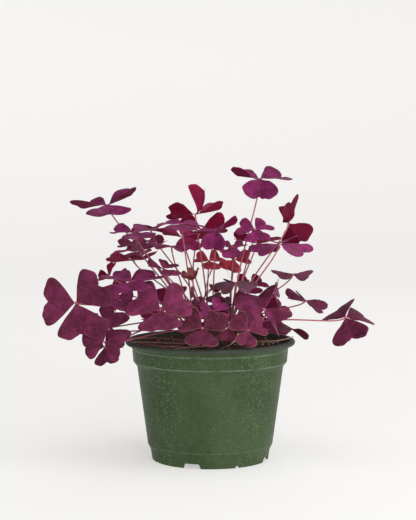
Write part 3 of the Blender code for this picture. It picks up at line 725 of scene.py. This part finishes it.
potShape = {
    "outside": ((54.9, 0.0), (56.5, 9.8), (59.0, 14.6), (69.0, 88.5), (72.5, 92.7), (73.5, 104.5),
                (74.4, 107.0), (76.1, 108.6)),
    "inside": ((72.2, 104.9), (71.2, 93.1), (67.7, 88.9), (57.7, 15.0), (55.2, 10.0)),
    "under": ((0.0, 10.0), (0.0, 8.6), (53.5, 8.6), (52.9, 0.0)),
    "lipRadius": 80.0,
    "lipInner": 73.8,
    "height": 113.0,
    "lipRound": 2.2,
    "innerRound": 2.0,
    "lipSteps": (10, 5),
    "corner": 0.9,
    "sides": 144,
    "notches": ((20.0, 14.0, 4.5, -18.0), (4.6, 3.8, 2.0, 27.0)),
    "notchCount": 4,
    "notchReach": 6.0,
    "notchRound": 0.25,
    "drains": 8,
    "drainRadius": 4.0,
    "drainCircle": 44.0,
    "drainSides": 32,
    "drainCut": (6.0, 9.3),
    "sharp": 40.0,
}


def arc(centre, radius, start, end, count):
    turns = [math.radians(start + (end - start) * step / count) for step in range(count + 1)]
    return [(centre[0] + radius * math.cos(t), centre[1] + radius * math.sin(t)) for t in turns]


def softened(points, size, count=4):  # rounds each inner corner of a line
    line = [Vector(points[0])]
    for before, corner, after in zip(points, points[1:], points[2:]):
        corner = Vector(corner)
        back, ahead = Vector(before) - corner, Vector(after) - corner
        cut = min(size, back.length * 0.45, ahead.length * 0.45)
        start, end = corner + back.normalized() * cut, corner + ahead.normalized() * cut
        for step in range(count + 1):
            t = step / count
            line.append(start * (1 - t) ** 2 + corner * 2 * t * (1 - t) + end * t ** 2)
    return line + [Vector(points[-1])]


def lathe(profile, sides):
    bm = bmesh.new()
    points = [bm.verts.new((radius * mm, 0.0, height * mm)) for radius, height in profile]
    lines = [bm.edges.new(pair) for pair in zip(points, points[1:])]
    bmesh.ops.spin(bm, geom=points + lines, axis=(0, 0, 1), angle=math.tau, steps=sides, use_merge=True)
    bmesh.ops.remove_doubles(bm, verts=bm.verts[:], dist=0.01 * mm)
    bmesh.ops.recalc_face_normals(bm, faces=bm.faces[:])
    return bm


def cutAway(piece, tools):
    group = bpy.data.collections.new("cutters")
    for bm in tools:
        group.objects.link(bpy.data.objects.new("cutter", newMesh(bm, "cutter")))
    cut = piece.modifiers.new("Cut", "BOOLEAN")
    cut.operand_type = "COLLECTION"
    cut.collection = group
    cut.solver = "EXACT"
    with bpy.context.temp_override(object=piece, active_object=piece, selected_objects=[piece]):
        bpy.ops.object.modifier_apply(modifier=cut.name)
    for tool in list(group.objects):
        bpy.data.objects.remove(tool, do_unlink=True)
    bpy.data.collections.remove(group)


# The mould lines, pale partly from wear and partly from a painted highlight, and the lip go by height as a share of
# the pot's; each line's height has how much shows.
potLook = {
    "gloss": 0.12,
    "rough": (0.42, 0.14, 0.3),
    "green": ((0.038, 0.07, 0.024), (0.057, 0.092, 0.036)),
    "wide": (0.045, 0.38, 0.62),
    "small": (0.006, 0.4, 0.62),
    "smallShare": 0.35,
    "smallColour": (0.074, 0.098, 0.062),
    "crowd": (0.026, 0.44, 0.6),
    "crowdShare": 0.3,
    "flanks": (0.02, 0.046),
    "flankShare": 0.7,
    "ends": (0.052, 0.066),
    "endShare": 0.65,
    "spots": (0.0036, 0.22, 0.6),
    "specks": (0.0019, 0.34, 0.6),
    "anywhere": 0.15,
    "dotShare": 0.62,
    "dotColour": (0.22, 0.3, 0.18),
    "wearAndHighlight": ((0.0, 0.3), (0.006, 0.0), (0.122, 0.0), (0.13, 0.22), (0.138, 0.0), (0.812, 0.0), (0.82, 0.6),
             (0.828, 0.0), (0.92, 0.0), (0.927, 0.6), (0.934, 0.0)),
    "wearAndHighlightPatches": (0.012, 0.25, 0.6),
    "wearAndHighlightColour": (0.26, 0.31, 0.25),
    "lip": (0.955, 0.975),
    "lipShare": 0.78,
    "lipColour": (0.05, 0.053, 0.052),
    # the inner wall over the soil gets painted shade, nearly black
    "insideRadius": 0.0738,
    "insideHeight": (0.09, 0.104),
    "insideSkin": (0.0925, 0.1045, 0.0718, 0.0728),
    "insideShadeShare": 0.85,
    "insideShadeColour": (0.01, 0.011, 0.008),
    "grain": (0.0011, 0.00006),
}


def potMaterial():
    look = potLook
    made, tree, shader = newMaterial("potPlastic", {"Specular IOR Level": look["gloss"]})
    x, y, height = put(tree, "SeparateXYZ", {"Vector": put(tree, "TexCoord").outputs["Object"]}).outputs
    small = patches(tree, *look["small"])
    colour = blend(tree, patches(tree, *look["wide"]), *look["green"])
    colour = layer(tree, colour, small, look["smallShare"], look["smallColour"])
    # dried droplets, thick in some patches
    aside = sums(tree, "ABSOLUTE", x)
    ends = times(tree, steps(tree, aside, *look["ends"]), look["endShare"])
    flanks = sums(tree, "SUBTRACT", steps(tree, aside, *look["flanks"]), ends)
    crowd = times(tree, patches(tree, *look["crowd"]), look["crowdShare"])
    crowd = sums(tree, "ADD", crowd, times(tree, flanks, look["flankShare"]), True)
    dots = sums(tree, "MAXIMUM", dotted(tree, *look["spots"]), dotted(tree, *look["specks"]))
    dots = times(tree, dots, sums(tree, "ADD", crowd, look["anywhere"], True))
    colour = layer(tree, colour, dots, look["dotShare"], look["dotColour"])
    # edges of the mould lines, by height, pale partly from wear and partly as a painted highlight where the edges
    # catch the light
    tall = sums(tree, "DIVIDE", height, potShape["height"] * mm)
    wearAndHighlight = ramp(tree, tall, [(level, (share,) * 3) for level, share in look["wearAndHighlight"]])
    colour = layer(tree, colour, wearAndHighlight, patches(tree, *look["wearAndHighlightPatches"]), look["wearAndHighlightColour"])
    colour = layer(tree, colour, steps(tree, tall, *look["lip"]), look["lipShare"], look["lipColour"])
    # painted shade: the pot's inner wall over the soil is darkened nearly to black, where shade falls inside the pot
    radial = put(tree, "CombineXYZ", {"X": x, "Y": y}).outputs[0]
    radial = put(tree, "VectorMath", {0: radial}, operation="LENGTH").outputs["Value"]
    inside = sums(tree, "LESS_THAN", radial, look["insideRadius"])
    inside = times(tree, inside, steps(tree, height, *look["insideHeight"]))
    skin = scaled(tree, height, *look["insideSkin"])
    inside = times(tree, inside, sums(tree, "GREATER_THAN", sums(tree, "SUBTRACT", skin, radial), 0.0))
    colour = layer(tree, colour, inside, look["insideShadeShare"], look["insideShadeColour"])
    tree.links.new(colour, shader.inputs["Base Color"])
    smooth, smallRough, dotRough = look["rough"]
    rough = sums(tree, "ADD", smooth, times(tree, small, smallRough))
    tree.links.new(sums(tree, "ADD", rough, times(tree, dots, dotRough)), shader.inputs["Roughness"])
    grained(tree, shader, *look["grain"], dots)
    return made


def buildPot(material):
    shape = potShape
    lip = arc((shape["lipRadius"] - shape["lipRound"], shape["height"] - shape["lipRound"]),
              shape["lipRound"], -90, 90, shape["lipSteps"][0])
    inner = arc((shape["lipInner"] + shape["innerRound"], shape["height"] - shape["innerRound"]),
                shape["innerRound"], 90, 180, shape["lipSteps"][1])
    outside = softened(shape["outside"] + (tuple(lip[0]),), shape["corner"])[:-1]
    inside = softened((inner[-1],) + shape["inside"] + shape["under"][:1], shape["corner"])[1:-1]
    profile = [tuple(point) for point in outside] + lip + inner + [tuple(point) for point in inside]
    profile += list(shape["under"]) + [shape["outside"][0]]
    pot = finishPiece(lathe(profile, shape["sides"]), "potShell", [material], "pot")
    tools = []
    for floorWidth, topWidth, height, first in shape["notches"]:
        for index in range(shape["notchCount"]):
            bm = bmesh.new()
            bmesh.ops.create_cube(bm, size=2.0)
            for vert in bm.verts:
                wide = topWidth if vert.co.z > 0 else floorWidth
                rise = height if vert.co.z > 0 else -height
                vert.co = Vector((vert.co.x * wide / 2, vert.co.y * shape["notchReach"], rise)) * mm
            lengthwise = [edge for edge in bm.edges if abs(edge.verts[0].co.y - edge.verts[1].co.y) > mm]
            bmesh.ops.bevel(bm, geom=lengthwise, offset=height * shape["notchRound"] * mm, segments=4,
                            profile=0.5, affect="EDGES", material=-1)
            turn = Matrix.Rotation(math.radians(first + index * 360 / shape["notchCount"]), 4, "Z")
            bmesh.ops.transform(bm, verts=bm.verts[:],
                                matrix=turn @ Matrix.Translation((0, -shape["outside"][0][0] * mm, 0)))
            tools.append(bm)
    depth, middle = shape["drainCut"]
    for index in range(shape["drains"]):
        bm = bmesh.new()
        turn = Matrix.Rotation(math.radians((index + 0.5) * 360 / shape["drains"]), 4, "Z")
        bmesh.ops.create_cone(bm, cap_ends=True, segments=shape["drainSides"],
                              radius1=shape["drainRadius"] * mm, radius2=shape["drainRadius"] * mm,
                              depth=depth * mm,
                              matrix=turn @ Matrix.Translation((shape["drainCircle"] * mm, 0, middle * mm)))
        tools.append(bm)
    cutAway(pot, tools)
    pot.data.shade_smooth()
    pot.data.set_sharp_from_angle(angle=math.radians(shape["sharp"]))


buildPot(potMaterial())
print("pot done")


soilLook = {
    "level": 108.4,
    "side": ((0.0, 10.3), (52.9, 10.3), (57.3, 15.0), (67.4, 88.9), (70.9, 93.1)),
    "radius": 71.8,
    "shoulder": 2.0,
    "rings": 34,
    "ringCrowd": 0.85,
    "sides": 132,
    "dome": (0.9, 34.0),
    "swell": (0.5, 9.0, 8.0),
    "lumps": (0.45, 3.7, 5.1, 4.3, 7.7),
    "crumble": 0.75,
    "crumbleSizes": (0.35, 0.9),
    "fineShare": 0.6,
    "calmEdge": (4.0, 0.2),
    "patch": (0.01, 0.35, 0.65),
    "fine": (0.0012, 0.45, 0.68),
    "fineCover": 0.5,
    "fineColour": (0.075, 0.045, 0.026),
    "bits": (0.003, 0.3),
    "bitCover": 0.7,
    "bitColour": (0.3, 0.22, 0.1),
    "gloss": 0.25,
    "rough": (0.75, 0.2),
    "grain": (0.0011, 0.0007),
}
# Dark and light colour, and the share of pale bits.
soilColours = {
    "soilPeat": ((0.03, 0.018, 0.02), (0.08, 0.045, 0.044), 0.12),
    "bark": ((0.034, 0.018, 0.019), (0.145, 0.074, 0.058), 0.15),
    "perlite": ((0.34, 0.29, 0.15), (0.55, 0.5, 0.32), 0.0),
}
crumbLook = {
    "reach": 69.0,
    "clear": 6.5,
    "tilt": 0.7,
    "long": (0.8, 1.8),
    "narrow": (0.5, 0.9),
    "chip": 0.22,
    "sink": 0.35,
    "gathered": 0.5,
}


def soilBump(x, y):  # the low swells of the CAD soil
    dome, domeSize = soilLook["dome"]
    swell, swellX, swellY = soilLook["swell"]
    lump, *sizes = soilLook["lumps"]
    rise = dome * math.cos(math.hypot(x, y) / domeSize) + swell * math.sin(x / swellX + 1.0) * math.cos(y / swellY)
    return rise + lump * math.sin(x / sizes[0] + y / sizes[1]) * math.cos(y / sizes[2] - x / sizes[3])


def soilHeight(x, y):
    coarseSize, fineSize = soilLook["crumbleSizes"]
    fine = noise.noise(Vector((x, y, 0)) * coarseSize)
    fine += soilLook["fineShare"] * noise.noise(Vector((x, y, 7)) * fineSize)
    width, least = soilLook["calmEdge"]
    fade = min(1.0, (soilLook["radius"] - math.hypot(x, y)) / width + least)
    return soilLook["level"] + soilBump(x, y) + fine * soilLook["crumble"] * fade


def soilMaterial(name):
    look = soilLook
    dark, light, share = soilColours[name]
    made, tree, shader = newMaterial(name, {"Specular IOR Level": look["gloss"]})
    fine = patches(tree, *look["fine"])
    bits = dotted(tree, *look["bits"], share)
    colour = blend(tree, patches(tree, *look["patch"]), dark, light)
    colour = layer(tree, colour, fine, look["fineCover"], look["fineColour"])
    colour = layer(tree, colour, bits, look["bitCover"], look["bitColour"])
    tree.links.new(colour, shader.inputs["Base Color"])
    smooth, fineRough = look["rough"]
    rough = sums(tree, "ADD", smooth, times(tree, fine, fineRough))
    tree.links.new(rough, shader.inputs["Roughness"])
    grained(tree, shader, *look["grain"], bits)
    return made


def buildSoil():
    look = soilLook
    side = look["side"] + ((look["radius"], look["level"] - look["shoulder"]),)
    top = tuple((look["radius"] * (1 - step / look["rings"]) ** look["ringCrowd"], look["level"])
                for step in range(1, look["rings"]))
    bm = lathe(side + top + ((0.0, look["level"]),), look["sides"])
    for vert in bm.verts:
        if vert.co.z > (look["level"] - 0.1) * mm:
            vert.co.z = soilHeight(vert.co.x / mm, vert.co.y / mm) * mm
    finishPiece(bm, "soilBed", [soilMaterial("soilPeat")], "soil")


def addCrumb(bm, draw, x, y, size, flat):
    look = crumbLook
    turn = Matrix.Rotation(draw.uniform(0, math.tau), 4, "Z")
    turn = turn @ Matrix.Rotation(draw.uniform(-look["tilt"], look["tilt"]), 4, "X")
    shape = Matrix.Diagonal((size * draw.uniform(*look["long"]), size * draw.uniform(*look["narrow"]),
                             size * flat, 1.0))
    place = Matrix.Translation(Vector((x, y, soilHeight(x, y) + size * flat * look["sink"])) * mm)
    made = bmesh.ops.create_icosphere(bm, subdivisions=1, radius=mm, matrix=place @ turn @ shape)["verts"]
    for vert in made:
        vert.co += Vector([draw.uniform(-look["chip"], look["chip"]) * size * mm for _ in range(3)])


def freeSpot(draw):
    reach, clear = crumbLook["reach"], crumbLook["clear"]
    while True:
        x, y = draw.uniform(-reach, reach), draw.uniform(-reach, reach)
        if math.hypot(x, y) < reach and all(math.hypot(x - a, y - b) > clear for a, b in clumps.values()):
            return x, y


def buildCrumbs(name, material, count, seed, sizes, flat, near=None):
    draw = random.Random(seed)
    bm = bmesh.new()
    for _ in range(count):
        x, y = freeSpot(draw)
        if near and draw.random() < crumbLook["gathered"]:
            x, y = near[0] + draw.gauss(0, near[2]), near[1] + draw.gauss(0, near[2])
            if math.hypot(x, y) > crumbLook["reach"]:
                continue
        addCrumb(bm, draw, x, y, draw.uniform(*sizes), flat)
    bmesh.ops.recalc_face_normals(bm, faces=bm.faces[:])
    piece = finishPiece(bm, name, [soilMaterial(material)])
    piece.data.shade_flat()


buildSoil()
# How many, the seed, the half sizes, how flat, and the spot where some of them gather.
buildCrumbs("barkCrumbs", "bark", 900, 4, (0.5, 1.7), 0.6)
buildCrumbs("perliteGrains", "perlite", 130, 9, (0.5, 1.1), 0.8, (52.0, 8.0, 9.0))
print("soil done")


# Dead stalks that lie on the soil, and bent young ones in the middle.
looseStems = {
    "deadLeft": (((-8, -12, 109.5), (-30, -30, 113), (-52, -46, 115.5), (-70, -40, 115.6)), 0.6, (0.74, 1.55, 0.85)),
    "deadLeftLow": (((-6, -30, 109), (-24, -52, 111.5), (-46, -50, 112), (-66, -36, 113.8)), 0.6, (0.76, 1.35, 0.8)),
    "deadLeftHigh": (((-14, -8, 109), (-34, -22, 118), (-56, -34, 119), (-79, -41, 118)), 0.5, (0.84, 1.45, 0.92)),
    "deadFront": (((4, -20, 109.5), (-10, -44, 112), (-34, -60, 110.8), (-44, -54, 110)), 0.6, (0.66, 1.7, 0.75)),
    "deadSide": (((-20, -6, 109), (-34, -30, 110.5), (-40, -50, 111), (-54, -44, 110.6)), 0.55, (0.54, 1.0, 0.55)),
    "tanRight": (((24, -14, 108), (36, -30, 118), (60, -44, 113), (77, -30, 119.5)), 0.5, (0.95, 2.4, 1.1)),
    "tanFront": (((9, -37, 108), (16, -68, 116), (22, -80, 118), (25, -76, 128)), 0.6, (1.25, 4.2, 1.6)),
    "bentA": (((-4, -18, 108), (-12, -26, 150), (-16, -33, 158), (-17, -34, 166)), 1.0, (0.32, 0.3, 0.4)),
    "bentB": (((-13, -28, 150), (-20, -30, 152), (-28, -30, 156), (-32, -30, 155)), 0.55, (0.25, 0.25, 0.35)),
    "bentC": (((-12, -26, 148), (-4, -28, 158), (4, -30, 166), (10, -28, 168)), 0.6, (0.3, 0.26, 0.36)),
    "bentD": (((-5, -20, 120), (-8, -22, 160), (-2, -24, 176), (4, -24, 186)), 0.5, (0.36, 0.3, 0.4)),
    "seedling": (((50, -22, 108), (51, -26, 114), (52, -30, 119), (51, -31, 124)), 0.6, (0.3, 0.3, 0.3)),
}
stemBuds = {
    "budA": ((-16.5, -33.5, 160), (0.1, -0.1, 1), (1.7, 1.7, 5.0), (0.42, 0.3, 0.38)),
    "budB": ((-31, -30, 155.5), (-1, 0, 0.1), (0.9, 0.9, 2.4), (0.3, 0.28, 0.4)),
    "budC": ((2, -29.5, 164), (0.8, 0, 0.5), (1.3, 0.7, 5.5), (0.42, 0.3, 0.42)),
    "budE": ((51, -31, 125), (0.3, -0.2, 1), (2.6, 0.8, 3.0), (0.26, 0.2, 0.26)),
    "budD": ((11, -28, 168), (1, 0, 0.3), (0.9, 0.9, 2.6), (0.36, 0.3, 0.42)),
}
looseLook = {"points": 18, "taper": 0.3, "climb": 0.5}
bm = newStalkMesh()
for points, radius, shade in looseStems.values():
    line = interpolate_bezier(*[Vector(point) for point in points], looseLook["points"])
    radii = [radius * (1 - looseLook["taper"] * index / len(line)) for index in range(len(line))]
    addTube(bm, line, radii, shade, [looseLook["climb"]] * len(line))
for centre, axis, size, shade in stemBuds.values():
    addKnob(bm, Vector(centre), Vector(axis).normalized(), size, shade, looseLook["climb"])
bmesh.ops.recalc_face_normals(bm, faces=bm.faces[:])
finishPiece(bm, "looseStems", [stalk])
print("loose stems done")


studio = {
    "sweep": ((0.0, 0.0), (2700.0, 0.0), (3400.0, 1150.0)),
    "sweepRound": 700.0,
    "sweepSteps": 24,
    "sweepSides": 96,
    "floor": (0.52, 0.52, 0.52),
    "floorGlow": (1.0, 0.985, 0.97),
    "glowAway": (0.4, 2.6, 0.5, 0.62),
    "glowLeft": (-2.6, -0.7, 0.65, 1.0),
    "world": (1.0, 0.995, 0.985),
    "worldSides": (-1.0, 1.0, 0.0, 0.55),
    "camera": (-0.0021, -1.4676, 0.30315),
    "pitch": 0.0785,
    "focalPixels": 1566.9,
    "imageHeight": 520,
    "sensor": 36.0,
    "clip": (0.05, 20.0),
}
# a round floor that curves up on every side, well outside the camera and the lamps
paper, tree, shader = newMaterial("backdropPaper", {"Roughness": 0.9, "Specular IOR Level": 0.1})
shader.inputs["Base Color"].default_value = (*studio["floor"], 1.0)
shader.inputs["Emission Color"].default_value = (*studio["floorGlow"], 1.0)
place = put(tree, "TexCoord").outputs["Object"]
away = put(tree, "VectorMath", {0: place}, operation="LENGTH").outputs["Value"]
side = put(tree, "SeparateXYZ", {"Vector": place}).outputs[0]
glow = scaled(tree, away, *studio["glowAway"])
glowLeft = scaled(tree, side, *studio["glowLeft"])
tree.links.new(times(tree, glow, glowLeft), shader.inputs["Emission Strength"])
bm = lathe(softened(studio["sweep"], studio["sweepRound"], studio["sweepSteps"]), studio["sweepSides"])
backdrop = newObject(bm, "backdrop", [paper])

lamps = {  # place, aim, width, watts, colour
    "topSoftbox": ((0.0, -0.4, 1.7), (0, 0, 0.15), 1.4, 9.5, (1.0, 0.99, 0.97)),
    "frontSoftbox": ((0.5, -2.1, 0.9), (0, 0, 0.12), 1.3, 17.5, (1.0, 0.99, 0.98)),
    "backSoftbox": ((0.2, 1.3, 1.3), (0, 0, 0.18), 0.9, 3.5, (1.0, 0.99, 0.97)),
    "rightWindow": ((1.5, -0.5, 0.8), (0, 0, 0.12), 0.9, 6.0, (1.0, 0.985, 0.97)),
}
for name, (place, aim, width, watts, colour) in lamps.items():
    data = bpy.data.lights.new(name, "AREA")
    data.size = width
    data.energy = watts
    data.color = colour
    lamp = bpy.data.objects.new(name, data)
    lamp.location = place
    lamp.rotation_euler = (Vector(aim) - Vector(place)).to_track_quat("-Z", "Y").to_euler()
    lamp.visible_camera = False
    bpy.context.scene.collection.objects.link(lamp)

world = bpy.data.worlds.new("studioAir")
bpy.context.scene.world = world
world.use_nodes = True
air = world.node_tree.nodes["Background"]
air.inputs["Color"].default_value = (*studio["world"], 1.0)
side = put(world.node_tree, "TexCoord").outputs["Generated"]
side = put(world.node_tree, "SeparateXYZ", {"Vector": side}).outputs[0]
side = scaled(world.node_tree, side, *studio["worldSides"])
world.node_tree.links.new(side, air.inputs["Strength"])
bpy.context.scene.view_settings.view_transform = "Standard"

lens = bpy.data.cameras.new("camera")
lens.sensor_width = studio["sensor"]
lens.lens = studio["focalPixels"] * lens.sensor_width / studio["imageHeight"]
lens.clip_start, lens.clip_end = studio["clip"]
camera = bpy.data.objects.new("camera", lens)
camera.location = studio["camera"]
camera.rotation_euler = (math.pi / 2 - studio["pitch"], 0.0, 0.0)
bpy.context.scene.collection.objects.link(camera)
bpy.context.scene.camera = camera
print("studio done")
